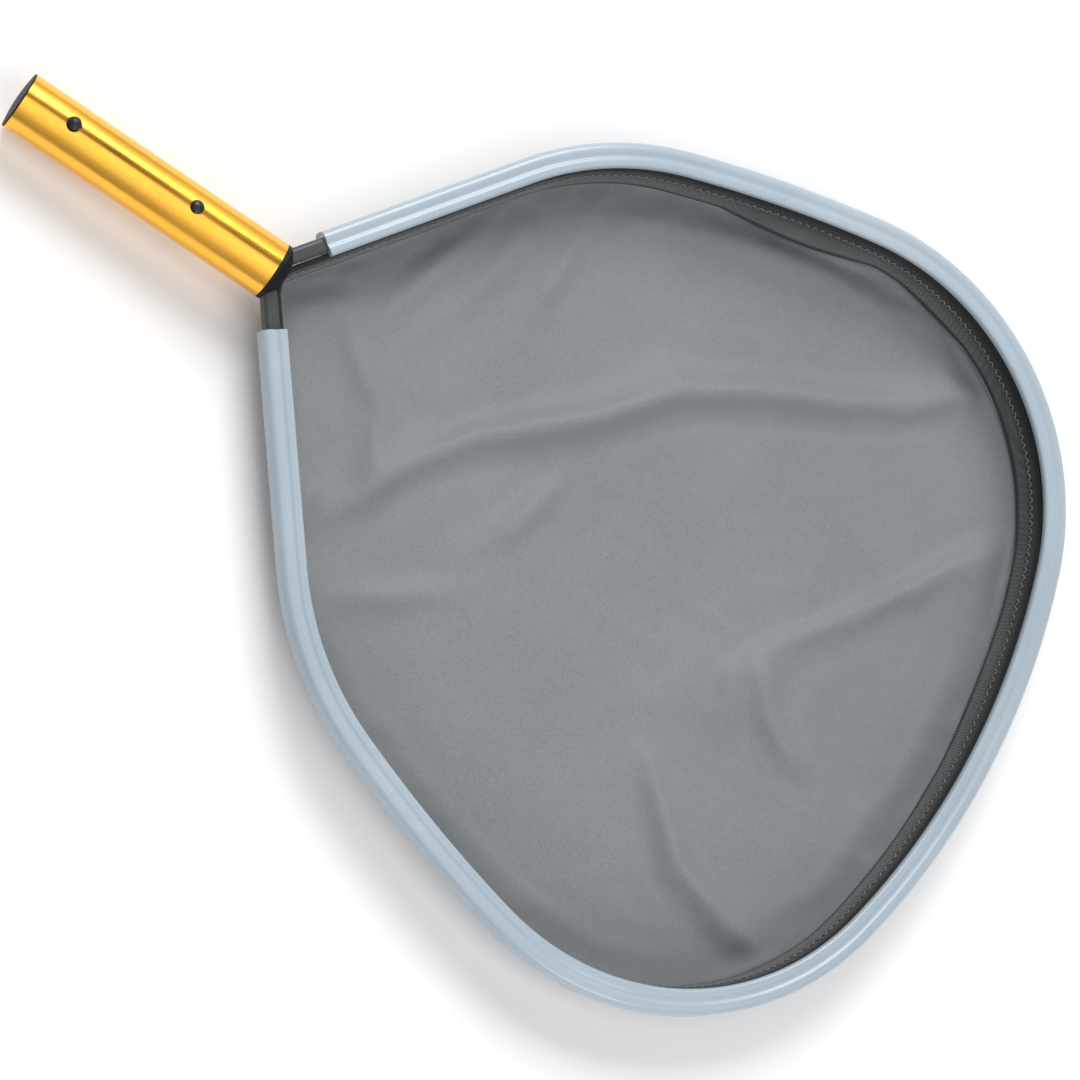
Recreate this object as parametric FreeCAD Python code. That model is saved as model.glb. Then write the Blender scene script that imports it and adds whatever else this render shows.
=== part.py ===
import FreeCAD, Part
import math
import os

# A leaf skimmer net for a pool pole: a short aluminium handle tube with a spring clip, a black hub with
# two yoke arms, and a rounded frame that carries a shallow net bag. Millimetres and degrees, +Z up, +X from
# the handle to the net's front edge. The origin is under the middle of the whole object, on the floor.

os.makedirs("parts", exist_ok=True)
Vector = FreeCAD.Vector
UP = Vector(0, 0, 1)

# Handle tube. It slides into a telescopic pole and is pitched down a little towards its outer end.
TUBE_OD = 28.6
TUBE_WALL = 1.4
TUBE_LENGTH = 140.0
TUBE_PITCH = 3.0
BORE_RADIUS = TUBE_OD / 2 - TUBE_WALL
RIVET_X = -46.5
RIVET_RADIUS = 2.3
RIVET_HEAD_RADIUS = 3.4
RIVET_HEAD_HEIGHT = 1.5
WASHER_RADIUS = 4.6
WASHER_THICKNESS = 0.8

# End plug: a spigot in the tube's outer end under a shallow domed flange.
PLUG_DEPTH = 12.0
PLUG_FLANGE = 0.8
PLUG_DOME = 1.2

# Spring clip: a flat strip bent to a U, with a button on the outside of each leg.
CLIP_X = -114.5
CLIP_LEVER = 34.5
CLIP_WIDTH = 9.0
STRIP = 1.0
LEG_RADIUS = 11.2
LEG_TAIL = 5.5
LEG_GAP = 0.2
BUTTON_RADIUS = 3.1
BUTTON_TOP = 17.8
BUTTON_DOME = 1.6
BUTTON_HOLE_RADIUS = 3.8

# Hub: the spigot in the tube's inner end, its collar at the mouth, and its nose between the arms.
SPIGOT_DEPTH = 58.0
SPIGOT_BORE_RADIUS = 9.5
SPIGOT_BORE_DEPTH = 28.0
COLLAR_LENGTH = 2.2
NOSE_LENGTH = 6.4
NOSE_RADIUS = 8.5

# Outline of the frame: tangent arcs from the front tip round to the straight legs, as radius and turn.
TIP_X = 432.5
ARCS = ((381.0, 16.1), (143.0, 86.8), (720.0, 8.5), (159.0, 32.6))
LEG_ANGLE = 54.0
LEG_LENGTH = 112.0
APEX_RADIUS = 36.0
RAIL_Z = 24.5

# Edge guard: section 12.8 wide and 12 high, n runs inwards from the outline and z from the mid-plane.
GUARD_WIDTH = 12.8
GUARD_HALF = 6.0
GUARD_OUTER_ROUND = 4.0
GUARD_INNER_ROUND = 2.0
GUARD_CAVITY = (1.9, 10.7, 3.8)
GUARD_OPEN_N = 10.6
GUARD_LIP_Z = 2.2
GUARD_GROOVE = (6.9, 2.6, 1.2)

# Rail inside the guard: a chamber for the arm's tongue and a groove for the net's spline.
RAIL = (2.05, 10.55, 3.65)
RAIL_CHAMBER = (2.9, 6.0, 2.8)
GROOVE_N = 8.6
GROOVE_RADIUS = 1.75
GROOVE_SLOT_HALF = 0.7
SPLINE_RADIUS = 1.6

# Yoke arms: rounded bars on the line of the legs, bent to run along the tube inside the hub.
ARM_N = 6.4
ARM_WIDTH = 7.5
ARM_HEIGHT = 8.4
ARM_ROUND = 2.5
ARM_BEND = 10.0
ARM_SHANK_Y = 7.6
ARM_SHANK_X = -26.0
ARM_END_GAP = 0.3
TONGUE = (3.0, 5.9, 2.7)
TONGUE_LENGTH = 15.0
PIN_RADIUS = 1.25
PIN_PLACES = (5.0, 11.0)
FIT_GAP = 0.1

# Net: a webbing hem that leaves the rail's slot and hangs down, a row of stitching on it, and the bag behind it.
HEM = (
    (10.3, 0.45), (12.0, 0.45), (12.9, -0.3), (13.3, -2.0), (15.0, -20.0),
    (14.1, -20.0), (12.4, -2.0), (12.1, -0.9), (11.7, -0.45), (10.3, -0.45),
)
STITCH = ((13.7, -5.8), (14.07, -5.8), (14.29, -8.2), (13.93, -8.2))
BAG_FLOOR_N = 17.0
BAG_BOTTOM = -24.5
BAG_FLOOR = 1.0
BAG_WALL = (
    (11.3, -2.0), (12.25, -2.0), (13.95, -20.2), (14.3, -20.8),
    (BAG_FLOOR_N, BAG_BOTTOM + BAG_FLOOR), (BAG_FLOOR_N, BAG_BOTTOM), (15.4, BAG_BOTTOM), (13.0, -20.4),
)


def unit(angle):
    """Direction in the frame's plane at an angle from +X."""
    return Vector(math.cos(math.radians(angle)), math.sin(math.radians(angle)), 0)


def mirrored(shape):
    """The same shape on the other side of the middle plane."""
    return shape.mirror(Vector(0, 0, 0), Vector(0, 1, 0))


# ---------------------------------------------------------------- outline

def outline_arcs():
    """The arcs of the +Y half from the tip to the leg, as (centre, radius, start, end) of their normals."""
    arcs = []
    normal = 0.0
    centre = Vector(TIP_X - ARCS[0][0], 0, 0)
    last = ARCS[0][0]
    for radius, turn in ARCS:
        centre = centre + unit(normal) * (last - radius)
        arcs.append((centre, radius, normal, normal + turn))
        normal += turn
        last = radius
    return arcs


OUTLINE = outline_arcs()
LEG_NORMAL = OUTLINE[-1][3]
LEG_TOP = OUTLINE[-1][0] + unit(LEG_NORMAL) * OUTLINE[-1][1]
LEG_HEADING = unit(LEG_NORMAL + 90)
LEG_END = LEG_TOP + LEG_HEADING * LEG_LENGTH
APEX_X = LEG_END.x - LEG_END.y / math.tan(math.radians(LEG_ANGLE))
APEX_CENTRE = Vector(APEX_X + APEX_RADIUS / math.sin(math.radians(LEG_ANGLE)), 0, 0)
APEX_START = APEX_CENTRE + unit(LEG_NORMAL) * APEX_RADIUS


def offset_wire(n, z):
    """The closed outline, n inside the outer edge, at height z."""
    edges = []
    lift = Vector(0, 0, z)
    for centre, radius, start, end in OUTLINE:
        for low, high in ((start, end), (-end, -start)):
            middle = Vector(centre.x, math.copysign(1, low + high) * centre.y, 0)
            edges.append(Part.makeCircle(radius - n, middle + lift, UP, low, high))
    edges.append(Part.makeCircle(APEX_RADIUS - n, APEX_CENTRE + lift, UP, LEG_NORMAL, 360 - LEG_NORMAL))
    inward = unit(LEG_NORMAL) * -n
    leg = Part.makeLine(LEG_TOP + inward + lift, APEX_START + inward + lift)
    edges.append(leg)
    edges.append(mirrored(leg))
    return Part.Wire(Part.__sortEdges__(edges))


def placed(face, point, inward):
    """A section face, drawn with n along X, set at a point of the outline with n pointing inwards."""
    copy = face.copy()
    copy.rotate(Vector(0, 0, 0), UP, inward)
    copy.translate(point)
    return copy


def swept(face, closed):
    """A section carried round the frame: round the whole loop, or between the two ends of the legs."""
    pieces = []
    for centre, radius, start, end in OUTLINE:
        section = placed(face, centre + unit(start) * radius, start + 180)
        pieces.append(section.revolve(centre, UP, end - start))
    section = placed(face, LEG_TOP, LEG_NORMAL + 180)
    leg_end = APEX_START if closed else LEG_END
    pieces.append(section.extrude(leg_end - LEG_TOP))
    if closed:
        section = placed(face, APEX_START, LEG_NORMAL + 180)
        pieces.append(section.revolve(APEX_CENTRE, UP, 180 - LEG_NORMAL))
    half = pieces[0].multiFuse(pieces[1:])
    whole = half.fuse(mirrored(half)).removeSplitter()
    whole.translate(Vector(0, 0, RAIL_Z))
    return whole.Solids[0]


# ---------------------------------------------------------------- sections

def polygon_face(points):
    """A flat section from its corners (n, z)."""
    corners = [Vector(n, 0, z) for n, z in points]
    return Part.Face(Part.makePolygon(corners + corners[:1]))


def box_face(low, high, half):
    """A rectangle from n low to n high, half as high above and below the mid-plane."""
    return polygon_face(((low, -half), (high, -half), (high, half), (low, half)))


def disc_face(n, z, radius):
    """A round section."""
    return Part.Face(Part.Wire(Part.makeCircle(radius, Vector(n, 0, z), Vector(0, 1, 0))))


def corner_arc(centre_n, centre_z, radius, start):
    """A quarter circle of a section's outline, from the angle start."""
    points = []
    for angle in (start, start + 45, start + 90):
        turn = math.radians(angle)
        points.append(Vector(centre_n + radius * math.cos(turn), 0, centre_z + radius * math.sin(turn)))
    return Part.Arc(*points).toShape()


def rounded_face(low, high, half, round_low, round_high):
    """A rectangle with rounded corners, with one radius at n low and one at n high."""
    arcs = [
        corner_arc(high - round_high, half - round_high, round_high, 0),
        corner_arc(low + round_low, half - round_low, round_low, 90),
        corner_arc(low + round_low, round_low - half, round_low, 180),
        corner_arc(high - round_high, round_high - half, round_high, 270),
    ]
    edges = []
    for arc, following in zip(arcs, arcs[1:] + arcs[:1]):
        edges.append(arc)
        edges.append(Part.makeLine(arc.valueAt(arc.LastParameter), following.valueAt(following.FirstParameter)))
    return Part.Face(Part.Wire(edges))


# ---------------------------------------------------------------- frame

def edge_guard():
    """Rounded plastic profile, grooved on its top and bottom, open on its inner side under a short lip."""
    section = rounded_face(0, GUARD_WIDTH, GUARD_HALF, GUARD_OUTER_ROUND, GUARD_INNER_ROUND)
    section = section.cut(box_face(*GUARD_CAVITY))
    beyond = GUARD_WIDTH + 1
    below = -GUARD_HALF - 1
    section = section.cut(polygon_face(
        ((GUARD_OPEN_N, below), (beyond, below), (beyond, GUARD_LIP_Z), (GUARD_OPEN_N, GUARD_LIP_Z))))
    groove_n, groove_radius, groove_depth = GUARD_GROOVE
    for side in (1, -1):
        groove_z = side * (GUARD_HALF - groove_depth + groove_radius)
        section = section.cut(disc_face(groove_n, groove_z, groove_radius))
    return swept(section.Faces[0], False)


def on_leg(shape):
    """A shape drawn with n along X and the leg along Y, from the guard's end, set on the +Y leg."""
    return placed(shape, LEG_END + Vector(0, 0, RAIL_Z), LEG_NORMAL + 180)


def rail_pins(radius, half):
    """The two cross pins that hold the +Y arm's tongue in the rail, half as long above the mid-plane."""
    middle = (TONGUE[0] + TONGUE[1]) / 2
    pins = [Part.makeCylinder(radius, 2 * half, Vector(middle, place, -half)) for place in PIN_PLACES]
    return on_leg(Part.makeCompound(pins))


def frame_rail():
    """Aluminium extrusion with a chamber for the tongues and a groove for the spline."""
    section = box_face(*RAIL)
    section = section.cut(box_face(*RAIL_CHAMBER))
    section = section.cut(disc_face(GROOVE_N, 0, GROOVE_RADIUS))
    section = section.cut(box_face(GROOVE_N, RAIL[1] + 1, GROOVE_SLOT_HALF))
    rail = swept(section.Faces[0], False)
    holes = rail_pins(PIN_RADIUS + FIT_GAP, RAIL[2] + 1)
    return rail.cut(holes).cut(mirrored(holes))


def net_spline():
    """Round cord that locks the net's edge in the rail's groove."""
    return swept(disc_face(GROOVE_N, 0, SPLINE_RADIUS), False)


def yoke_arm(grow):
    """The +Y arm without its tongue: shank in the hub, bend, and the straight run to the guard's end."""
    half_width = ARM_WIDTH / 2 + grow
    section = rounded_face(-half_width, half_width, ARM_HEIGHT / 2 + grow, ARM_ROUND, ARM_ROUND)
    end = LEG_END + unit(LEG_NORMAL + 180) * ARM_N + LEG_HEADING * (ARM_END_GAP - grow)
    slope = math.radians(LEG_ANGLE)
    corner_x = end.x - (end.y - ARM_SHANK_Y) / math.tan(slope)
    bend_x = corner_x - ARM_BEND * math.tan(slope / 2)
    bend_centre = Vector(bend_x, ARM_SHANK_Y + ARM_BEND, 0)
    start = Vector(ARM_SHANK_X - grow, ARM_SHANK_Y, 0)
    shank = placed(section, start, 90).extrude(Vector(bend_x - start.x, 0, 0))
    bend = placed(section, Vector(bend_x, ARM_SHANK_Y, 0), 90).revolve(bend_centre, UP, LEG_ANGLE)
    bend_end = bend_centre + unit(LEG_ANGLE - 90) * ARM_BEND
    run = placed(section, bend_end, LEG_ANGLE + 90).extrude(end - bend_end)
    arm = shank.multiFuse([bend, run]).removeSplitter()
    arm.translate(Vector(0, 0, RAIL_Z))
    return arm.Solids[0]


def yoke_arm_with_tongue():
    """The +Y arm and the flat tongue that is pinned in the rail's chamber."""
    low, high, half = TONGUE
    tongue = Part.makeBox(
        high - low, TONGUE_LENGTH + ARM_END_GAP + 1, 2 * half, Vector(low, -ARM_END_GAP - 1, -half))
    arm = yoke_arm(0).fuse(on_leg(tongue))
    return arm.cut(rail_pins(PIN_RADIUS + FIT_GAP, RAIL[2])).removeSplitter().Solids[0]


# ---------------------------------------------------------------- handle

def on_tube(shape):
    """A shape drawn about the X axis, with the tube's mouth at X = 0, set on the pitched handle."""
    copy = shape.copy()
    copy.rotate(Vector(0, 0, 0), Vector(0, 1, 0), -TUBE_PITCH)
    copy.translate(Vector(0, 0, RAIL_Z))
    return copy


def rod_x(radius, start, end):
    """A cylinder about the X axis between two places."""
    return Part.makeCylinder(radius, end - start, Vector(start, 0, 0), Vector(1, 0, 0))


def rod_z(radius, x, low, high):
    """An upright cylinder on the middle plane."""
    return Part.makeCylinder(radius, high - low, Vector(x, 0, low))


def dome_z(radius, height, x, base):
    """A shallow round cap whose flat side is at height base."""
    ball = (radius ** 2 + height ** 2) / (2 * height)
    sphere = Part.makeSphere(ball, Vector(x, 0, base + height - ball))
    return sphere.common(rod_z(radius, x, base, base + height + 1))


def handle_tube():
    """The tube with its two button holes and two rivet holes."""
    tube = rod_x(TUBE_OD / 2, -TUBE_LENGTH, 0).cut(rod_x(BORE_RADIUS, -TUBE_LENGTH - 1, 1))
    tube = tube.cut(rod_z(BUTTON_HOLE_RADIUS, CLIP_X, -TUBE_OD, TUBE_OD))
    tube = tube.cut(rod_z(RIVET_RADIUS + FIT_GAP, RIVET_X, -TUBE_OD, TUBE_OD))
    return on_tube(tube)


def handle_end_plug():
    """Domed black plug in the outer end of the tube."""
    radius = TUBE_OD / 2 - FIT_GAP
    flange_x = -TUBE_LENGTH - PLUG_FLANGE
    ball = (radius ** 2 + PLUG_DOME ** 2) / (2 * PLUG_DOME)
    sphere = Part.makeSphere(ball, Vector(flange_x - PLUG_DOME + ball, 0, 0))
    dome = sphere.common(rod_x(radius, flange_x - PLUG_DOME - 1, flange_x))
    spigot = rod_x(BORE_RADIUS - FIT_GAP, -TUBE_LENGTH, PLUG_DEPTH - TUBE_LENGTH)
    spigot = spigot.cut(rod_x(BORE_RADIUS - 2, -TUBE_LENGTH + 1, PLUG_DEPTH - TUBE_LENGTH + 1))
    plug = dome.multiFuse([rod_x(radius, flange_x, -TUBE_LENGTH), spigot]).removeSplitter()
    return on_tube(plug.Solids[0])


def strip_box(start, end, low):
    """A flat stretch of the clip's strip, from height low."""
    return Part.makeBox(end - start, CLIP_WIDTH, STRIP, Vector(start, -CLIP_WIDTH / 2, low))


def clip_parts():
    """The clip's bend, and the upper leg and button."""
    root_x = CLIP_X + CLIP_LEVER
    inner = LEG_RADIUS - STRIP / 2
    across = Vector(0, 1, 0)
    base = Vector(root_x, -CLIP_WIDTH / 2, 0)
    ring = Part.makeCylinder(inner + STRIP, CLIP_WIDTH, base, across)
    ring = ring.cut(Part.makeCylinder(inner, CLIP_WIDTH, base, across))
    bend = ring.common(Part.makeBox(TUBE_OD, TUBE_OD, TUBE_OD, Vector(root_x, -TUBE_OD / 2, -TUBE_OD / 2)))
    leg = strip_box(CLIP_X - LEG_TAIL, root_x - LEG_GAP, inner)
    shank_top = BUTTON_TOP - BUTTON_DOME
    button = rod_z(BUTTON_RADIUS, CLIP_X, inner + STRIP, shank_top)
    button = button.fuse(dome_z(BUTTON_RADIUS, BUTTON_DOME, CLIP_X, shank_top))
    return bend.Solids[0], leg, button.removeSplitter().Solids[0]


def upside_down(shape):
    """The same clip piece on the lower side of the tube."""
    return shape.mirror(Vector(0, 0, 0), UP)


def handle_rivet():
    """Cross rivet through the tube and the hub, with a domed head on each side."""
    seat = TUBE_OD / 2
    shank = rod_z(RIVET_RADIUS, RIVET_X, -seat, seat)
    upper = rod_z(RIVET_HEAD_RADIUS, RIVET_X, seat - 1, seat + 0.3)
    upper = upper.fuse(dome_z(RIVET_HEAD_RADIUS, RIVET_HEAD_HEIGHT, RIVET_X, seat + 0.3))
    upper = upper.cut(rod_x(seat, RIVET_X - 8, RIVET_X + 8))
    washer_face = -seat - WASHER_THICKNESS
    lower = upside_down(dome_z(RIVET_HEAD_RADIUS, RIVET_HEAD_HEIGHT, RIVET_X, -washer_face))
    stem = rod_z(RIVET_RADIUS, RIVET_X, washer_face, -seat)
    return on_tube(shank.multiFuse([upper, lower, stem]).removeSplitter().Solids[0])


def rivet_washer():
    """Washer under the rivet's lower head, saddled on the tube."""
    face = -TUBE_OD / 2 - WASHER_THICKNESS
    washer = rod_z(WASHER_RADIUS, RIVET_X, face, face + 2)
    washer = washer.cut(rod_z(RIVET_RADIUS + FIT_GAP, RIVET_X, face - 1, 0))
    return on_tube(washer.cut(rod_x(TUBE_OD / 2, RIVET_X - 8, RIVET_X + 8)).Solids[0])


def hub_plug():
    """Black moulding: spigot, collar and nose, with a socket for each arm."""
    spigot = rod_x(BORE_RADIUS - FIT_GAP, -SPIGOT_DEPTH, FIT_GAP)
    spigot = spigot.cut(rod_x(SPIGOT_BORE_RADIUS, -SPIGOT_DEPTH - 1, SPIGOT_BORE_DEPTH - SPIGOT_DEPTH))
    collar = rod_x(TUBE_OD / 2, FIT_GAP, COLLAR_LENGTH)
    nose = Part.makeCone(
        TUBE_OD / 2, NOSE_RADIUS, NOSE_LENGTH - COLLAR_LENGTH, Vector(COLLAR_LENGTH, 0, 0), Vector(1, 0, 0))
    hub = spigot.multiFuse([collar, nose])
    hub = on_tube(hub.cut(rod_z(RIVET_RADIUS + FIT_GAP, RIVET_X, -TUBE_OD, TUBE_OD)))
    socket = yoke_arm(FIT_GAP)
    hub = hub.cut(socket).cut(mirrored(socket))
    return hub.removeSplitter().Solids[0]


# ---------------------------------------------------------------- net

def net_bag():
    """The shallow bag: a wall that hangs behind the hem and leans in below it, and a flat floor."""
    floor = Part.Face(offset_wire(BAG_FLOOR_N, RAIL_Z + BAG_BOTTOM)).extrude(UP * BAG_FLOOR)
    return swept(polygon_face(BAG_WALL), True).fuse(floor).removeSplitter().Solids[0]


# ---------------------------------------------------------------- all pieces

clip_bend, clip_leg, clip_button = clip_parts()
arm = yoke_arm_with_tongue()
pins = rail_pins(PIN_RADIUS, RAIL[2] - 0.05)

NODES = {
    "handle_tube": handle_tube(),
    "handle_end_plug": handle_end_plug(),
    "clip_bend": on_tube(clip_bend),
    "clip_leg_upper": on_tube(clip_leg),
    "clip_leg_lower": on_tube(upside_down(clip_leg)),
    "clip_button_upper": on_tube(clip_button),
    "clip_button_lower": on_tube(upside_down(clip_button)),
    "hub_plug": hub_plug(),
    "handle_rivet": handle_rivet(),
    "rivet_washer": rivet_washer(),
    "yoke_arm_left": arm,
    "yoke_arm_right": mirrored(arm),
    "rail_pins_left": pins,
    "rail_pins_right": mirrored(pins),
    "frame_rail": frame_rail(),
    "edge_guard": edge_guard(),
    "net_spline": net_spline(),
    "net_hem": swept(polygon_face(HEM), True),
    "hem_stitching": swept(polygon_face(STITCH), True),
    "net_bag": net_bag(),
}

# The origin goes under the middle of the length from the end plug's dome to the front edge.
handle_reach = (TUBE_LENGTH + PLUG_FLANGE + PLUG_DOME) * math.cos(math.radians(TUBE_PITCH))
to_origin = Vector((handle_reach - TIP_X) / 2, 0, 0)

for name, shape in NODES.items():
    shape.translate(to_origin)
    shape.exportStep("parts/" + name + ".step")
    box = shape.BoundBox
    print(name, len(shape.Solids), shape.isValid(), "%.1f mm3" % shape.Volume,
          "X %.2f..%.2f Y %.2f..%.2f Z %.2f..%.2f" % (box.XMin, box.XMax, box.YMin, box.YMax, box.ZMin, box.ZMax))
print("shift", to_origin, "leg end", LEG_END, "leg normal", LEG_NORMAL)
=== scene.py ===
import math
import bmesh
import bpy
from mathutils import Matrix, Vector, noise
from mathutils.geometry import delaunay_2d_cdt


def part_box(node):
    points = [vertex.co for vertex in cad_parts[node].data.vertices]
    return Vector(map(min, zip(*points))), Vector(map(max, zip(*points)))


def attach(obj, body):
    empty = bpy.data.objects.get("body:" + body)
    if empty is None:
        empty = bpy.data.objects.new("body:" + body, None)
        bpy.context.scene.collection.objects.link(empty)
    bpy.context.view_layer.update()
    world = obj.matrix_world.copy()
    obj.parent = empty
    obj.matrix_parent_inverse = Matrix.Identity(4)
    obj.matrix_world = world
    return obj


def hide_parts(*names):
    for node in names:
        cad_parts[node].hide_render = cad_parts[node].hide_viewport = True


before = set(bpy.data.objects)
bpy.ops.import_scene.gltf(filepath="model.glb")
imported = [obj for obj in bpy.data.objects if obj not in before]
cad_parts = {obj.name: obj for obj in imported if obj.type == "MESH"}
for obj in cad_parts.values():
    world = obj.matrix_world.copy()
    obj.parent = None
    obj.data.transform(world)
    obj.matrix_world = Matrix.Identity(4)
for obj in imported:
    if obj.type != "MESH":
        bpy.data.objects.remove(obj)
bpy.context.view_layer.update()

# A leaf skimmer net: gold handle tube with a spring clip, black hub, two dark arms, a pale plastic guard
# round the frame, and a shallow bag of fine grey mesh. The guard, the net, its hem and the stitching are
# built here on the frame's outline, and the other pieces are the CAD parts. Sizes are in metres.

MM = 0.001
UP = Vector((0, 0, 1))
BODY = "skimmer"

# The outline: tangent arcs from the front tip round to the straight legs, as radius and turn in degrees. The
# net and its hem close in front of the hub, on an arc of the apex radius.
ARCS = ((0.381, 16.1), (0.143, 86.8), (0.720, 8.5), (0.159, 32.6))
LEG_LENGTH = 0.112
APEX_RADIUS = 0.026
GUARD_LOW, GUARD_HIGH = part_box("edge_guard")
BAG_LOW, BAG_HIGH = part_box("net_bag")
RAIL_Z = (GUARD_LOW.z + GUARD_HIGH.z) / 2
TIP_X = GUARD_HIGH.x

# Sections are points (n, z): n runs inwards from the outline, and z up from the rail's mid-plane.
GUARD_WIDTH = 0.0128
GUARD_HALF = (GUARD_HIGH.z - GUARD_LOW.z) / 2

# The hem's hanging band: the z where it turns down, its lower edge's depth, its face's n where it turns down
# and the slope below that, its thickness and its rows of faces.
BAND_TOP = -0.0020
BAND_DEPTH = 0.0200
BAND_FACE = 0.0133
BAND_SLOPE = 0.0945
BAND_THICKNESS = 0.0009
BAND_ROWS = 9

# Light: the world's strength, its greys by height, the side it is dark on and the greys towards that side,
# and the dark strip overhead as its middle, half width and fade, in degrees from +Z towards +Y.
WORLD_STRENGTH = 1.52
SKY = ((0.0, 0.35), (0.5, 0.52), (0.8, 0.88), (1.0, 1.0))
DARK_SIDE = (-0.86, -0.51, 0.0)
DARKNESS = ((0.15, 1.0), (0.65, 0.30))
STREAK = (22.0, 13.0, 3.0)

# Lamps as (name, place, size, power), and the point they all face.
LAMPS = (
    ("key", (-1.0, 1.9, 1.9), 1.6, 64),
    ("fill", (1.2, -1.8, 1.25), 1.0, 17),
)
LAMP_TARGET = Vector((0.05, 0, 0))

FLOOR_REACH = 6.0
FLOOR_DROP = 0.0002

# Camera: on the near side of the net, tilted from straight above, a long lens at a distance.
CAMERA_TILT = 24.3
CAMERA_AZIMUTH = 232.2
CAMERA_ROLL = 70.1
CAMERA_TARGET = Vector((0.032, -0.0337, RAIL_Z))
CAMERA_DISTANCE = 2.2
CAMERA_LENS = 155.0


# ---------------------------------------------------------------- outline

def unit(angle):
    """Direction in the frame's plane at an angle in degrees from +X."""
    return Vector((math.cos(math.radians(angle)), math.sin(math.radians(angle)), 0))


def half_outline():
    """The +Y half: arcs as (centre, radius, first normal, turn), the leg's normal and ends, the apex arc."""
    arcs = []
    normal = 0.0
    centre = Vector((TIP_X - ARCS[0][0], 0, 0))
    last = ARCS[0][0]
    for radius, turn in ARCS:
        centre = centre + unit(normal) * (last - radius)
        arcs.append((centre, radius, normal, turn))
        normal += turn
        last = radius
    leg_top = centre + unit(normal) * last
    leg_end = leg_top + unit(normal + 90) * LEG_LENGTH
    slope = math.radians(normal - 90)
    apex_x = leg_end.x - leg_end.y / math.tan(slope)
    apex_centre = Vector((apex_x + APEX_RADIUS / math.sin(slope), 0, 0))
    apex_start = apex_centre + unit(normal) * APEX_RADIUS
    return arcs, normal, leg_top, leg_end, apex_centre, apex_start


HALF_ARCS, LEG_NORMAL, LEG_TOP, LEG_END, APEX_CENTRE, APEX_START = half_outline()


def half_samples(step, closed):
    """Points of the +Y half with their outward normals, from the tip to the leg's end or the apex."""
    samples = []
    for centre, radius, first, turn in HALF_ARCS:
        count = max(2, round(math.radians(turn) * radius / step))
        for k in range(count):
            normal = unit(first + turn * k / count)
            samples.append((centre + normal * radius, normal))
    end = APEX_START if closed else LEG_END
    normal = unit(LEG_NORMAL)
    count = max(2, round((end - LEG_TOP).length / step))
    for k in range(count if closed else count + 1):
        samples.append((LEG_TOP.lerp(end, k / count), normal))
    if closed:
        turn = 180 - LEG_NORMAL
        count = max(4, round(math.radians(turn) * APEX_RADIUS / step))
        for k in range(count + 1):
            normal = unit(LEG_NORMAL + turn * k / count)
            samples.append((APEX_CENTRE + normal * APEX_RADIUS, normal))
    return samples


def loop_samples(step, closed):
    """The whole outline, from the -Y leg round the tip to the +Y leg, as (point, outward normal)."""
    half = half_samples(step, closed)
    flip = Vector((1, -1, 1))
    other = [(point * flip, normal * flip) for point, normal in half[1:]]
    if closed:
        other = other[:-1]
    return list(reversed(other)) + half


def at(sample, n, z):
    """A point n inside the outline and z above the rail's mid-plane."""
    point, normal = sample
    return point - normal * n + UP * (RAIL_Z + z)


# ---------------------------------------------------------------- mesh helpers

def new_object(name, mesh, material, smooth=True):
    """Puts a mesh in the scene with its material."""
    obj = bpy.data.objects.new(name, mesh)
    bpy.context.scene.collection.objects.link(obj)
    mesh.materials.append(material)
    for polygon in mesh.polygons:
        polygon.use_smooth = smooth
    return obj


def mesh_from(name, vertices, faces):
    """A mesh with its normals facing out."""
    mesh = bpy.data.meshes.new(name)
    mesh.from_pydata([tuple(v) for v in vertices], [], faces)
    work = bmesh.new()
    work.from_mesh(mesh)
    bmesh.ops.recalc_face_normals(work, faces=work.faces)
    work.to_mesh(mesh)
    work.free()
    return mesh


def square_mesh(name, reach):
    """A flat square about the origin."""
    corners = [(-reach, -reach, 0), (reach, -reach, 0), (reach, reach, 0), (-reach, reach, 0)]
    return mesh_from(name, corners, [(0, 1, 2, 3)])


def swept_mesh(name, profile, samples, closed):
    """A closed section (n, z) carried round the outline, with flat ends where it is open."""
    vertices = []
    for sample in samples:
        vertices += [at(sample, n, z) for n, z in profile]
    width = len(profile)
    rows = len(samples)
    faces = []
    for k in range(rows if closed else rows - 1):
        ahead = (k + 1) % rows
        for j in range(width):
            beside = (j + 1) % width
            faces.append((k * width + j, k * width + beside, ahead * width + beside, ahead * width + j))
    if not closed:
        faces.append(tuple(reversed(range(width))))
        faces.append(tuple((rows - 1) * width + j for j in range(width)))
    return mesh_from(name, vertices, faces)


def mark_sharp(obj, degrees):
    """Smooth shading that keeps the edges sharper than an angle."""
    work = bmesh.new()
    work.from_mesh(obj.data)
    limit = math.radians(degrees)
    for edge in work.edges:
        edge.smooth = not (len(edge.link_faces) == 2 and edge.calc_face_angle() > limit)
    work.to_mesh(obj.data)
    work.free()


def arc_points(centre, radius, start, end, count):
    """Points of a section's arc, angles in degrees."""
    points = []
    for k in range(count + 1):
        angle = math.radians(start + (end - start) * k / count)
        points.append((centre[0] + radius * math.cos(angle), centre[1] + radius * math.sin(angle)))
    return points


# ---------------------------------------------------------------- materials

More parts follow.
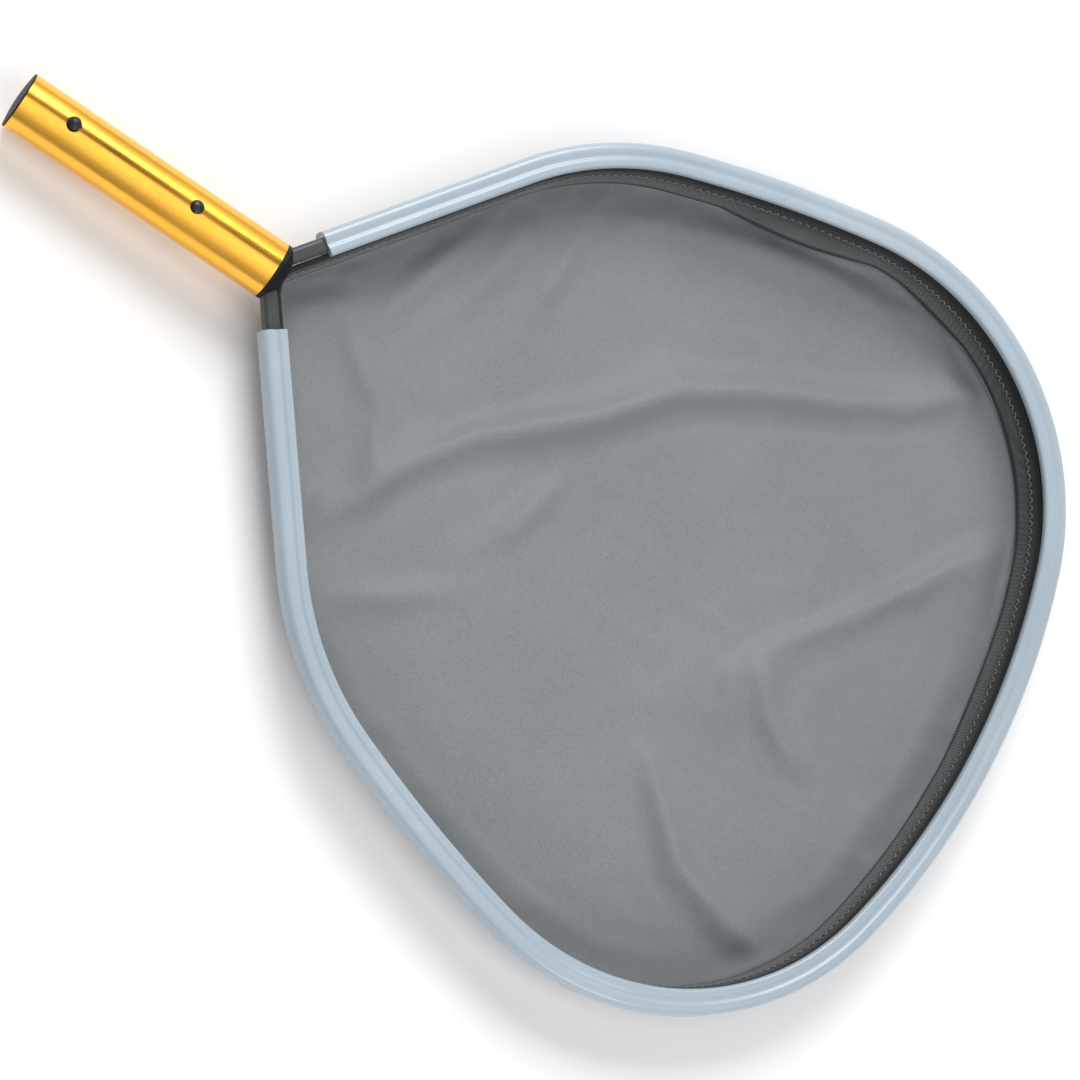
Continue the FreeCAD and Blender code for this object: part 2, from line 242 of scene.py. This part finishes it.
class Graph:
    """Short calls for a material's nodes."""

    def __init__(self, name):
        self.material = bpy.data.materials.new(name)
        self.material.use_nodes = True
        self.tree = self.material.node_tree
        self.shader = self.tree.nodes["Principled BSDF"]
        self.coords = self.tree.nodes.new("ShaderNodeTexCoord")

    def add(self, kind, settings=None, **inputs):
        """A node with its properties and inputs; an input may be a value or another node's output."""
        node = self.tree.nodes.new(kind)
        for key, value in (settings or {}).items():
            setattr(node, key, value)
        for key, value in inputs.items():
            self.feed(node, key, value)
        return node

    def feed(self, node, key, value):
        """Sets or links one input, by name or by number as i0, i1."""
        socket = node.inputs[int(key[1:])] if key[0] == "i" and key[1:].isdigit() else node.inputs[key]
        if isinstance(value, bpy.types.NodeSocket):
            self.tree.links.new(value, socket)
        else:
            socket.default_value = value

    def set(self, **inputs):
        """Sets sockets of the Principled shader, underscores standing for spaces."""
        for key, value in inputs.items():
            self.feed(self.shader, key.replace("_", " "), value)

    def place(self, scale=(1, 1, 1), rotate=(0, 0, 0)):
        """The object's own coordinates in metres, scaled and turned."""
        node = self.add("ShaderNodeMapping", None, Scale=scale, Rotation=rotate)
        self.tree.links.new(self.coords.outputs["Object"], node.inputs["Vector"])
        return node.outputs["Vector"]

    def noise(self, scale, detail=3.0, vector=None, roughness=0.5):
        """Noise from 0 to 1."""
        where = vector if vector is not None else self.place()
        node = self.add(
            "ShaderNodeTexNoise", None, Vector=where, Scale=scale, Detail=detail, Roughness=roughness)
        return node.outputs["Fac"]

    def ramp(self, fac, stops):
        """A colour ramp through (place, colour) stops."""
        node = self.add("ShaderNodeValToRGB", None, Fac=fac)
        elements = node.color_ramp.elements
        while len(elements) < len(stops):
            elements.new(0.5)
        for element, (place, colour) in zip(elements, stops):
            element.position = place
            element.color = (*colour, 1)
        return node.outputs["Color"]

    def spread(self, fac, low, high, out_low, out_high):
        """Maps a range of values onto another."""
        node = self.add("ShaderNodeMapRange", None, Value=fac)
        for key, value in (("From Min", low), ("From Max", high), ("To Min", out_low), ("To Max", out_high)):
            node.inputs[key].default_value = value
        return node.outputs["Result"]

    def maths(self, operation, first, second=0.0):
        """One sum."""
        return self.add("ShaderNodeMath", {"operation": operation}, i0=first, i1=second).outputs["Value"]

    def mix(self, fac, first, second, blend="MIX"):
        """Mixes two colours."""
        node = self.add("ShaderNodeMix", {"data_type": "RGBA", "blend_type": blend})
        self.feed(node, "i0", fac)
        self.feed(node, "i6", first)
        self.feed(node, "i7", second)
        return node.outputs[2]

    def bump(self, height, distance, strength=1.0):
        """Fine relief, its distance in metres."""
        node = self.add("ShaderNodeBump", None, Height=height, Distance=distance, Strength=strength)
        return node.outputs["Normal"]


def grey(value):
    """A neutral colour."""
    return (value, value, value)


def speckled(name, dark, light, rough, grain_scale=900.0, grain=0.00004, **extra):
    """A moulded or coated surface: soft cloudy colour, fine grain and uneven gloss."""
    g = Graph(name)
    cloud = g.noise(22.0, 4.0)
    fine = g.noise(grain_scale, 2.0)
    colour = g.ramp(cloud, ((0.3, dark), (0.7, light)))
    g.set(Base_Color=colour, Roughness=g.spread(cloud, 0.3, 0.7, rough[0], rough[1]), **extra)
    g.set(Normal=g.bump(fine, grain))
    return g.material


def metal(name, dark, light, rough, lines=0.00002):
    """A drawn metal surface with fine lines along X."""
    g = Graph(name)
    streaks = g.noise(60.0, 5.0, g.place((1, 30, 30)), 0.65)
    cloud = g.noise(14.0, 3.0)
    colour = g.ramp(streaks, ((0.35, dark), (0.65, light)))
    g.set(Base_Color=colour, Metallic=1.0, Roughness=g.spread(cloud, 0.3, 0.7, rough[0], rough[1]))
    g.set(Normal=g.bump(streaks, lines))
    return g.material


def guard_material():
    """Pale blue-grey plastic with cloudy colour and fine scuffs."""
    g = Graph("guard_plastic")
    cloud = g.noise(16.0, 4.0)
    scuffs = g.noise(240.0, 6.0, g.place((1, 1, 4)), 0.7)
    base = g.ramp(cloud, ((0.3, (0.340, 0.412, 0.472)), (0.7, (0.382, 0.456, 0.518))))
    worn = g.ramp(scuffs, ((0.60, grey(0.0)), (0.82, grey(0.6))))
    colour = g.mix(worn, base, (0.48, 0.56, 0.62, 1))
    g.set(Base_Color=colour, Roughness=g.spread(scuffs, 0.3, 0.7, 0.28, 0.38))
    g.set(Coat_Weight=0.25, Coat_Roughness=0.2)
    g.set(Normal=g.bump(g.noise(700.0, 3.0), 0.00003))
    return g.material


def weave(g, pitch, rotate):
    """Over-and-under threads: (how much thread covers a point, height of the threads)."""
    place = g.place(grey(1.0), (0, 0, math.radians(rotate)))
    split = g.add("ShaderNodeSeparateXYZ", None, Vector=place)
    turn = math.pi / pitch
    across = g.maths("ABSOLUTE", g.maths("SINE", g.maths("MULTIPLY", split.outputs["X"], turn)))
    along = g.maths("ABSOLUTE", g.maths("SINE", g.maths("MULTIPLY", split.outputs["Y"], turn)))
    cover = g.maths("MAXIMUM", across, along)
    height = g.maths("MULTIPLY", cover, g.maths("ADD", across, along))
    return cover, height


def net_material():
    """Fine grey polyester mesh: woven threads over darker gaps, in softly varying greys."""
    g = Graph("net_mesh")
    cover, height = weave(g, 0.0008, 12.0)
    cloud = g.noise(11.0, 5.0, None, 0.55)
    cool, warm = (0.167, 0.192, 0.203), (0.221, 0.229, 0.239)
    patches = g.ramp(cloud, ((0.30, cool), (0.70, warm)))
    gaps = g.mix(0.45, patches, (0.047, 0.060, 0.067, 1))
    fuzz = g.noise(900.0, 3.0)
    thread = g.mix(g.spread(cover, 0.5, 0.95, 0.0, 1.0), gaps, patches)
    g.set(Base_Color=g.mix(g.spread(fuzz, 0.35, 0.65, 0.0, 0.25), thread, (0.265, 0.280, 0.295, 1)))
    g.set(Roughness=0.6, Sheen_Weight=0.15, Sheen_Roughness=0.5)
    g.set(Normal=g.bump(height, 0.00006, 0.4))
    return g.material


# The webbing's colour from its lower edge, 0, to where it turns down, 1, as painted light and shade: a
# painted shadow line along the turned lower edge, a face painted lighter, and painted shade again under the
# rail.
HEM_PAINTED_SHADE = (
    (0.00, (0.020, 0.025, 0.025)), (0.08, (0.026, 0.032, 0.032)), (0.17, (0.122, 0.146, 0.144)),
    (0.50, (0.092, 0.111, 0.110)), (0.76, (0.034, 0.041, 0.041)), (1.00, (0.007, 0.009, 0.009)),
)


def hem_material():
    """Dark grey woven webbing, darker in the gaps of the weave, with painted shade under the rail and along
    its lower edge and a face painted lighter.
    """
    g = Graph("hem_webbing")
    cover, height = weave(g, 0.0012, 40.0)
    split = g.add("ShaderNodeSeparateXYZ", None, Vector=g.place())
    share = g.spread(split.outputs["Z"], RAIL_Z - BAND_DEPTH, RAIL_Z + BAND_TOP, 0.0, 1.0)
    patches = g.ramp(g.noise(30.0, 4.0), ((0.3, grey(0.78)), (0.7, grey(1.0))))
    # The colour by height is painted shade: dark under the rail and along the lower edge, lighter on the
    # face.
    base = g.mix(1.0, g.ramp(share, HEM_PAINTED_SHADE), patches, "MULTIPLY")
    gaps = g.mix(0.5, base, (*grey(0.01), 1))
    colour = g.mix(g.spread(cover, 0.4, 1.0, 0.0, 1.0), gaps, base)
    g.set(Base_Color=colour, Roughness=0.8, Sheen_Weight=0.3, Sheen_Roughness=0.4)
    g.set(Normal=g.bump(height, 0.00015, 0.4))
    return g.material


def thread_material():
    """Pale polyester sewing thread with a fine twist."""
    g = Graph("hem_thread")
    twist = g.noise(1800.0, 2.0)
    colour = g.ramp(twist, ((0.3, (0.15, 0.17, 0.17)), (0.7, (0.24, 0.265, 0.265))))
    g.set(Base_Color=colour, Roughness=0.6)
    g.set(Normal=g.bump(twist, 0.00008))
    return g.material


def floor_material():
    """Plain pale floor."""
    g = Graph("studio_floor")
    cloud = g.noise(3.0, 2.0)
    g.set(Base_Color=g.ramp(cloud, ((0.3, grey(0.90)), (0.7, grey(0.92)))), Roughness=0.9)
    return g.material


MATERIALS = {
    "gold": metal("gold_anodised_tube", (0.98, 0.48, 0.055), (1.0, 0.56, 0.085), (0.19, 0.27), 0.000006),
    "nylon": speckled("black_nylon", grey(0.004), grey(0.008), (0.45, 0.6), Specular_IOR_Level=0.2),
    "yoke": speckled(
        "yoke_casting", (0.035, 0.038, 0.037), (0.060, 0.064, 0.062), (0.36, 0.5), 500.0, 0.0001),
    "rivet": speckled("black_rivet", grey(0.005), grey(0.012), (0.34, 0.46)),
    "button": speckled("button_black", grey(0.004), grey(0.008), (0.42, 0.55)),
    "steel": metal("spring_steel", grey(0.42), grey(0.58), (0.24, 0.34)),
    "rail": metal("rail_aluminium", grey(0.62), grey(0.76), (0.3, 0.42)),
    "vinyl": speckled("spline_vinyl", grey(0.03), grey(0.05), (0.5, 0.65)),
    "guard": guard_material(),
    "net": net_material(),
    "hem": hem_material(),
    "thread": thread_material(),
    "floor": floor_material(),
}

NODE_MATERIALS = {
    "handle_tube": "gold", "handle_end_plug": "nylon", "hub_plug": "nylon", "clip_bend": "steel",
    "clip_leg_upper": "steel", "clip_leg_lower": "steel", "clip_button_upper": "button",
    "clip_button_lower": "button", "handle_rivet": "rivet", "rivet_washer": "rivet",
    "yoke_arm_left": "yoke", "yoke_arm_right": "yoke", "rail_pins_left": "steel", "rail_pins_right": "steel",
    "frame_rail": "rail", "net_spline": "vinyl", "edge_guard": "guard", "net_hem": "hem",
    "hem_stitching": "thread", "net_bag": "net",
}


def dress_cad_nodes():
    """Gives every CAD node its material."""
    for node, key in NODE_MATERIALS.items():
        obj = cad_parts[node]
        for slot in obj.material_slots:
            slot.material = MATERIALS[key]


# ---------------------------------------------------------------- guard

GUARD_SPACING = 0.004


def guard_profile():
    """The guard's closed section: rounded, shallow grooves on both faces, open inside under a short lip."""
    width, half = GUARD_WIDTH, GUARD_HALF
    outer, inner, lower_edge = 0.0040, 0.0020, 0.0106
    groove_n, groove_half, groove_depth = 0.0069, 0.0024, 0.0010
    lip_z, cavity_half, cavity_low, cavity_high = 0.0022, 0.0038, 0.0019, 0.0107
    bead, groove_steps = 0.0005, 8
    top = arc_points((outer, half - outer), outer, 180, 90, 10)
    for k in range(groove_steps + 1):
        share = k / groove_steps
        dip = math.sin(math.pi * share) ** 2 * groove_depth
        top.append((groove_n - groove_half + 2 * groove_half * share, half - dip))
    bottom = [(n, -z) for n, z in reversed(top)]
    lip = arc_points((width - inner, half - inner), inner, 90, 0, 8)
    lip += arc_points((width - bead, lip_z + bead), bead, 0, -90, 3)
    cavity = [(cavity_high, lip_z), (cavity_high, cavity_half), (cavity_low, cavity_half)]
    cavity += [(cavity_low, -cavity_half), (lower_edge, -cavity_half), (lower_edge, -half)]
    return top + lip + cavity + bottom


def make_guard():
    """The pale plastic guard round the frame."""
    samples = loop_samples(GUARD_SPACING, False)
    mesh = swept_mesh("guard_profile", guard_profile(), samples, False)
    guard = new_object("guard_profile", mesh, MATERIALS["guard"])
    mark_sharp(guard, 40)
    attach(guard, BODY)
    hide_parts("edge_guard")


# ---------------------------------------------------------------- net

# The cloth's wall from its top edge down to the floor of the bag, as (n, z, share of the band's lean). The
# first rings are sewn to the band, and pinned.
WALL = (
    (0.0120, -0.0018, 0.0), (0.0123, -0.0050, 0.0), (0.0126, -0.0090, 0.15), (0.0130, -0.0130, 0.3),
    (0.0134, -0.0170, 0.4), (0.0138, -0.0200, 0.45), (0.0140, -0.0217, 0.4), (0.0148, -0.0229, 0.3),
    (0.0168, -0.0235, 0.15), (0.0205, -0.0237, 0.0),
)
PINNED_RINGS = 6

# How the band hangs: the depth at which it starts to swing loose, how much further down it is quite loose,
# and the ripple that it has everywhere.
LOOSE_FROM = 0.0050
LOOSE_OVER = 0.0160
RIPPLE = 0.0004
RIPPLE_SCALE = 30.0

# Places where the band hangs slack and leans in: where on the floor plan, how far along, and how far in.
LEANS = (((0.070, 0.203), 0.046, 0.0054), ((0.155, 0.190), 0.030, 0.0030), ((0.272, 0.040), 0.050, 0.0012))

# The cloth: the length of its mesh's edges, its height at rest, how far from the wall's foot it comes to
# rest, how long it settles, how much wider it is than its room, and the furthest that any corner moves.
NET_SPACING = 0.0050
NET_LOOP = loop_samples(NET_SPACING, True)
CLOTH_REST = 0.0009
CLOTH_FOOT = 0.012
CLOTH_FRAMES = 30
CLOTH_SLACK = 0.012
CLOTH_TRAVEL = 0.012
CLOTH_SETTINGS = {
    "quality": 6, "mass": 0.02, "air_damping": 2.0, "bending_stiffness": 0.35, "shear_stiffness": 4.0,
    "tension_stiffness": 12.0, "compression_stiffness": 12.0,
    "shrink_min": -CLOTH_SLACK, "shrink_max": -CLOTH_SLACK,
}

# What it lands on: how far below height zero, how thick and how rough.
LANDING_DROP = 0.0004
LANDING_SKIN = 0.001
LANDING_FRICTION = 12.0

# The slow swell of the loose cloth, in millimetres, and the scale and level of its noise.
SWELL_MEAN = 1.5
SWELL_RANGE = 2.0
SWELL_SCALE = 9.0
SWELL_LEVEL = 3.1

# Folds of the net, in millimetres on the floor plan: points along the fold, height, and how far it spreads on
# its left and on its right. The gain multiplies every height.
FOLD_GAIN = 1.9
FOLDS = (
    (((218, 191), (166, 140), (138, 122), (103, 103), (61, 76), (34, 43), (-14, -4), (-34, -30), (-65, -85)),
     6.5, 8, 14),
    (((33, 5), (28, -18), (20, -42)), 4.0, 5, 10),
    (((-30, -103), (-10, -90), (10, -75)), 3.5, 5, 8),
    (((270, 140), (228, 86), (195, 34), (168, -1), (157, -26), (160, -46)), 5.0, 18, 9),
    (((166, -18), (180, -33), (200, -44), (212, -45)), 5.0, 6, 7),
    (((140, -86), (156, -102), (176, -121), (202, -129), (232, -137)), 5.5, 7, 9),
    (((-62, 96), (-72, 60), (-84, 20)), 3.5, 8, 8),
    (((-41, 102), (-48, 70), (-62, 30)), 3.0, 7, 8),
    (((-18, 106), (-22, 70)), 3.0, 6, 8),
    (((30, 170), (70, 172), (112, 190)), 3.0, 5, 10),
    (((-100, 10), (-60, -20), (-36, -70)), 2.5, 9, 12),
)


def fold_height(x, y):
    """Height of the folds at a point of the floor plan, all in millimetres; a fold is lower at its ends."""
    total = 0.0
    for points, height, left, right in FOLDS:
        best = None
        run = 0.0
        length = sum(math.dist(a, b) for a, b in zip(points, points[1:]))
        for (ax, ay), (bx, by) in zip(points, points[1:]):
            span = math.dist((ax, ay), (bx, by))
            share = ((x - ax) * (bx - ax) + (y - ay) * (by - ay)) / span ** 2
            share = max(0.0, min(1.0, share))
            gap = math.dist((x, y), (ax + share * (bx - ax), ay + share * (by - ay)))
            if best is None or gap < best[0]:
                side = (bx - ax) * (y - ay) - (by - ay) * (x - ax)
                best = (gap, side, (run + share * span) / length)
            run += span
        gap, side, along = best
        reach = left if side > 0 else right
        taper = math.sin(math.pi * (0.08 + 0.84 * along)) ** 0.6
        total += FOLD_GAIN * height * taper * math.exp(-(gap / reach) ** 1.6)
    return total


def band_n(z):
    """Where the band's face hangs at a height."""
    return BAND_FACE + BAND_SLOPE * (BAND_TOP - z)


def band_share(z):
    """How much of its lean the band has at a height."""
    return max(0.0, min(1.0, (-z - LOOSE_FROM) / LOOSE_OVER))


def band_lean(point):
    """How far the band's lower edge leans in at a point of the outline."""
    total = RIPPLE + RIPPLE * noise.noise(point * RIPPLE_SCALE)
    for (x, y), width, amount in LEANS:
        gap = math.hypot(point.x - x, point.y - y) / width
        total += amount * max(0.0, 1.0 - gap ** 1.5)
    return total


def floor_lift(point):
    """Height of the loose cloth above where it rests: its folds and a slow swell."""
    spot = Vector((point.x * SWELL_SCALE, point.y * SWELL_SCALE, SWELL_LEVEL))
    swell = SWELL_MEAN + SWELL_RANGE * noise.noise(spot)
    return (fold_height(point.x / MM, point.y / MM) + max(0.0, swell)) * MM


def signed_inset(point):
    """How far inside the outline a point of the plane is."""
    best = min(NET_LOOP, key=lambda s: (s[0] - point).length_squared)
    return (best[0] - point).dot(best[1])


def floor_points(inset):
    """An even field of triangle corners inside the outline, at least so far from it, with their insets."""
    points = []
    row_step = NET_SPACING * math.sqrt(3) / 2
    for i in range(round((BAG_HIGH.y - BAG_LOW.y) / row_step) + 1):
        for j in range(round((BAG_HIGH.x - BAG_LOW.x) / NET_SPACING) + 1):
            spot = Vector((BAG_LOW.x + NET_SPACING * (j + 0.5 * (i % 2)), BAG_LOW.y + row_step * i, 0))
            found = signed_inset(spot)
            if found > inset:
                points.append((spot, found))
    return points


def make_net():
    """The mesh bag: rings down the wall, then triangles over the floor, raised into soft folds."""
    clearance, least_area, merge = NET_SPACING * 0.6, NET_SPACING ** 2 * 0.02, 1e-7
    vertices, faces = [], []
    for n, z, share in WALL:
        vertices += [at(sample, n + share * band_lean(sample[0]), z) for sample in NET_LOOP]
    count = len(NET_LOOP)
    for ring in range(len(WALL) - 1):
        for k in range(count):
            a, b = ring * count + k, ring * count + (k + 1) % count
            faces.append((a, b, b + count, a + count))
    foot_n, foot_z = WALL[-1][:2]
    base = (len(WALL) - 1) * count
    inner = floor_points(foot_n + clearance)
    flat = [vertices[base + k].to_2d() for k in range(count)] + [spot.to_2d() for spot, inset in inner]
    for spot, inset in inner:
        share = min(1.0, (inset - foot_n) / CLOTH_FOOT)
        rest = RAIL_Z + foot_z + (CLOTH_REST - RAIL_Z - foot_z) * share
        vertices.append(Vector((spot.x, spot.y, rest + floor_lift(spot) * share)))
    for triangle in delaunay_2d_cdt(flat, [], [], 0, merge)[2]:
        corners = [flat[v] for v in triangle]
        if abs((corners[1] - corners[0]).cross(corners[2] - corners[0])) > least_area:
            faces.append(tuple(base + v for v in triangle))
    mesh = mesh_from("net_cloth", vertices, faces)
    net = new_object("net_cloth", mesh, MATERIALS["net"])
    pinned = net.vertex_groups.new(name="pinned")
    pinned.add(list(range(count * PINNED_RINGS)), 1.0, "REPLACE")
    return net


def apply_modifiers(obj):
    """Keeps the mesh that the modifiers make, and takes them off."""
    graph = bpy.context.evaluated_depsgraph_get()
    made = bpy.data.meshes.new_from_object(obj.evaluated_get(graph))
    obj.modifiers.clear()
    obj.data = made


def settle_net(net):
    """Lets the cloth, a little slack, drop from its pinned rings and settle on the floor."""
    landing = bpy.data.objects.new("cloth_rest", square_mesh("cloth_rest", 1.0))
    bpy.context.scene.collection.objects.link(landing)
    landing.location.z = -LANDING_DROP
    bumper = landing.modifiers.new("Collision", "COLLISION")
    landing.collision.thickness_outer = LANDING_SKIN
    landing.collision.cloth_friction = LANDING_FRICTION
    start = [v.co.copy() for v in net.data.vertices]
    cloth = net.modifiers.new("Cloth", "CLOTH")
    for setting, value in CLOTH_SETTINGS.items():
        setattr(cloth.settings, setting, value)
    cloth.settings.vertex_group_mass = "pinned"
    cloth.collision_settings.distance_min = LANDING_SKIN
    cloth.collision_settings.use_self_collision = False
    scene = bpy.context.scene
    cloth.point_cache.frame_start = 1
    cloth.point_cache.frame_end = CLOTH_FRAMES
    for step in range(1, CLOTH_FRAMES + 1):
        scene.frame_set(step)
    apply_modifiers(net)
    scene.frame_set(1)
    landing.modifiers.remove(bumper)
    bpy.data.objects.remove(landing)
    for vertex, old in zip(net.data.vertices, start):
        moved = vertex.co - old
        if moved.length > CLOTH_TRAVEL:
            vertex.co = old + moved.normalized() * CLOTH_TRAVEL
        vertex.co.z = max(vertex.co.z, CLOTH_REST / 2)


def finish_net(net):
    smooth = net.modifiers.new("Smooth", "SMOOTH")
    smooth.factor = 0.5
    smooth.iterations = 2
    inside = net.vertex_groups.new(name="inside")
    inside.add(list(range(len(NET_LOOP) * PINNED_RINGS, len(net.data.vertices))), 1.0, "REPLACE")
    smooth.vertex_group = "inside"
    divide = net.modifiers.new("Subdivide", "SUBSURF")
    divide.levels = 1
    divide.render_levels = 1
    apply_modifiers(net)
    net.vertex_groups.clear()
    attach(net, BODY)
    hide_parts("net_bag")


# ---------------------------------------------------------------- hem and stitching

HEM_SPACING = 0.003
EDGE_ROUND = 0.0003
EDGE_WAVE = 0.0007
EDGE_WAVE_SCALE = 28.0

# A stitch: its length along the hem, the z of the zigzag's two sides, how far it stands off the band, its
# bar's radius and sides, its rings as (share of the length, share of the radius), and its bow in radii.
STITCH_LENGTH = 0.0022
STITCH_TOP = -0.0058
STITCH_BOTTOM = -0.0082
STITCH_GAP = 0.0002
STITCH_RADIUS = 0.0003
STITCH_SIDES = 6
STITCH_RINGS = ((0.0, 0.35), (0.15, 0.9), (0.5, 1.0), (0.85, 0.9), (1.0, 0.35))
STITCH_BOW = 0.9


def make_hem():
    """Webbing band that comes out of the rail's slot, turns down and hangs in front of the net's edge."""
    face = [(0.0104, 0.00045), (0.0116, 0.00045), (0.0123, 0.0002), (0.0129, -0.0006), (BAND_FACE, BAND_TOP)]
    back = [(0.0104, -0.00045), (0.0113, -0.00045), (0.0118, -0.0008), (0.0124, BAND_TOP)]
    for k in range(1, BAND_ROWS + 1):
        z = BAND_TOP - (BAND_DEPTH + BAND_TOP) * k / BAND_ROWS
        face.append((band_n(z), z))
        back.append((band_n(z) - BAND_THICKNESS, z))
    samples = loop_samples(HEM_SPACING, True)
    edge = [(band_n(-BAND_DEPTH) - BAND_THICKNESS / 2, -BAND_DEPTH - EDGE_ROUND)]
    profile = face + edge + list(reversed(back))
    mesh = swept_mesh("hem_band", profile, samples, True)
    placed_at = [sample for sample in samples for row in profile]
    for vertex, (point, normal) in zip(mesh.vertices, placed_at):
        low = band_share(vertex.co.z - RAIL_Z)
        vertex.co -= normal * band_lean(point) * low
        vertex.co.z += noise.noise(point * EDGE_WAVE_SCALE) * EDGE_WAVE * low
    hem = new_object("hem_band", mesh, MATERIALS["hem"])
    mark_sharp(hem, 50)
    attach(hem, BODY)
    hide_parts("net_hem")
    return hem


def stitch(vertices, faces, start, end, out):
    """One lying stitch: a little rounded bar between two points, bowed out of the webbing."""
    sides, rings = STITCH_SIDES, len(STITCH_RINGS)
    along = (end - start).normalized()
    side = along.cross(out).normalized()
    base = len(vertices)
    for share, size in STITCH_RINGS:
        centre = start.lerp(end, share) + out * STITCH_RADIUS * STITCH_BOW * math.sin(math.pi * share)
        for k in range(sides):
            angle = math.tau * k / sides
            spoke = side * math.cos(angle) + out * math.sin(angle)
            vertices.append(centre + spoke * STITCH_RADIUS * size)
    for r in range(rings - 1):
        for k in range(sides):
            a, b = base + r * sides + k, base + r * sides + (k + 1) % sides
            faces.append((a, b, b + sides, a + sides))
    faces.append(tuple(base + k for k in reversed(range(sides))))
    faces.append(tuple(base + (rings - 1) * sides + k for k in range(sides)))


def make_stitches():
    """The zigzag row on the hem."""
    samples = loop_samples(STITCH_LENGTH, True)
    vertices, faces = [], []
    upper, lower = ((band_n(z) + STITCH_GAP, z) for z in (STITCH_TOP, STITCH_BOTTOM))
    for k, sample in enumerate(samples):
        ahead = samples[(k + 1) % len(samples)]
        first, second = (upper, lower) if k % 2 == 0 else (lower, upper)
        stitch(vertices, faces, at(sample, *first), at(ahead, *second), -sample[1])
    mesh = mesh_from("hem_stitches", vertices, faces)
    stitches = new_object("hem_stitches", mesh, MATERIALS["thread"])
    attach(stitches, BODY)
    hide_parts("hem_stitching")
    return stitches


# ---------------------------------------------------------------- studio

def make_floor():
    """A wide pale floor under the net."""
    floor = new_object("floor", square_mesh("floor", FLOOR_REACH), MATERIALS["floor"], False)
    floor.location.z = -FLOOR_DROP


def area_light(name, place, size, power):
    """A soft square lamp that faces the net."""
    data = bpy.data.lights.new(name, "AREA")
    data.shape = "SQUARE"
    data.size = size
    data.energy = power
    lamp = bpy.data.objects.new(name, data)
    lamp.location = place
    lamp.rotation_mode = "QUATERNION"
    lamp.rotation_quaternion = (LAMP_TARGET - Vector(place)).to_track_quat("-Z", "Y")
    bpy.context.scene.collection.objects.link(lamp)


def make_world():
    """Soft surroundings: white overhead, darker low down and to one side, and a dark strip for the tube."""
    world = bpy.data.worlds.new("studio")
    bpy.context.scene.world = world
    world.use_nodes = True
    tree = world.node_tree
    background = tree.nodes["Background"]
    split = tree.nodes.new("ShaderNodeSeparateXYZ")
    coords = tree.nodes.new("ShaderNodeTexCoord")
    tree.links.new(coords.outputs["Generated"], split.inputs["Vector"])
    angle = tree.nodes.new("ShaderNodeMath")
    angle.operation = "ARCTAN2"
    tree.links.new(split.outputs["Y"], angle.inputs[0])
    tree.links.new(split.outputs["Z"], angle.inputs[1])
    strip_mid, strip_half, fade = STREAK
    stops = (
        (strip_mid - strip_half - fade, 1.0), (strip_mid - strip_half, 0.0),
        (strip_mid + strip_half, 0.0), (strip_mid + strip_half + fade, 1.0),
    )
    strip = world_ramp(tree, angle.outputs["Value"], math.radians(-90), math.radians(90), stops, 90, 180)
    sky = world_ramp(tree, split.outputs["Z"], 0.0, 1.0, SKY, 0, 1)
    side = tree.nodes.new("ShaderNodeVectorMath")
    side.operation = "DOT_PRODUCT"
    side.inputs[1].default_value = DARK_SIDE
    tree.links.new(coords.outputs["Generated"], side.inputs[0])
    dark = world_ramp(tree, side.outputs["Value"], -1.0, 1.0, DARKNESS, 1, 2)
    colour = world_product(tree, world_product(tree, strip, sky), dark)
    tree.links.new(colour, background.inputs["Color"])
    background.inputs["Strength"].default_value = WORLD_STRENGTH


def world_product(tree, first, second):
    """Two greys multiplied."""
    both = tree.nodes.new("ShaderNodeMix")
    both.data_type = "RGBA"
    both.blend_type = "MULTIPLY"
    both.inputs[0].default_value = 1.0
    tree.links.new(first, both.inputs[6])
    tree.links.new(second, both.inputs[7])
    return both.outputs[2]


def world_ramp(tree, value, low, high, stops, zero, span):
    """Greys along a range of values; a stop's place is (stop + zero) / span."""
    spread = tree.nodes.new("ShaderNodeMapRange")
    spread.inputs["From Min"].default_value = low
    spread.inputs["From Max"].default_value = high
    tree.links.new(value, spread.inputs["Value"])
    ramp = tree.nodes.new("ShaderNodeValToRGB")
    tree.links.new(spread.outputs["Result"], ramp.inputs["Fac"])
    elements = ramp.color_ramp.elements
    while len(elements) < len(stops):
        elements.new(0.5)
    for element, (place, shade) in zip(elements, stops):
        element.position = (place + zero) / span
        element.color = (*grey(shade), 1)
    return ramp.outputs["Color"]


def make_camera():
    """The camera, looking at the net from its near side."""
    tilt, azimuth = math.radians(CAMERA_TILT), math.radians(CAMERA_AZIMUTH)
    back = Vector((math.sin(tilt) * math.cos(azimuth), math.sin(tilt) * math.sin(azimuth), math.cos(tilt)))
    level = UP.cross(back).normalized()
    right = Matrix.Rotation(math.radians(CAMERA_ROLL), 3, back) @ level
    top = back.cross(right)
    data = bpy.data.cameras.new("camera")
    data.lens = CAMERA_LENS
    data.sensor_width = 36.0
    data.clip_end = 20.0
    camera = bpy.data.objects.new("camera", data)
    turn = Matrix((right, top, back)).transposed().to_4x4()
    camera.matrix_world = Matrix.Translation(CAMERA_TARGET + back * CAMERA_DISTANCE) @ turn
    bpy.context.scene.collection.objects.link(camera)
    bpy.context.scene.camera = camera


# ---------------------------------------------------------------- build

make_camera()
make_world()
make_floor()
for lamp in LAMPS:
    area_light(*lamp)
dress_cad_nodes()
make_guard()
net = make_net()
settle_net(net)
finish_net(net)
hem = make_hem()
stitches = make_stitches()
bpy.context.scene.view_settings.view_transform = "Standard"
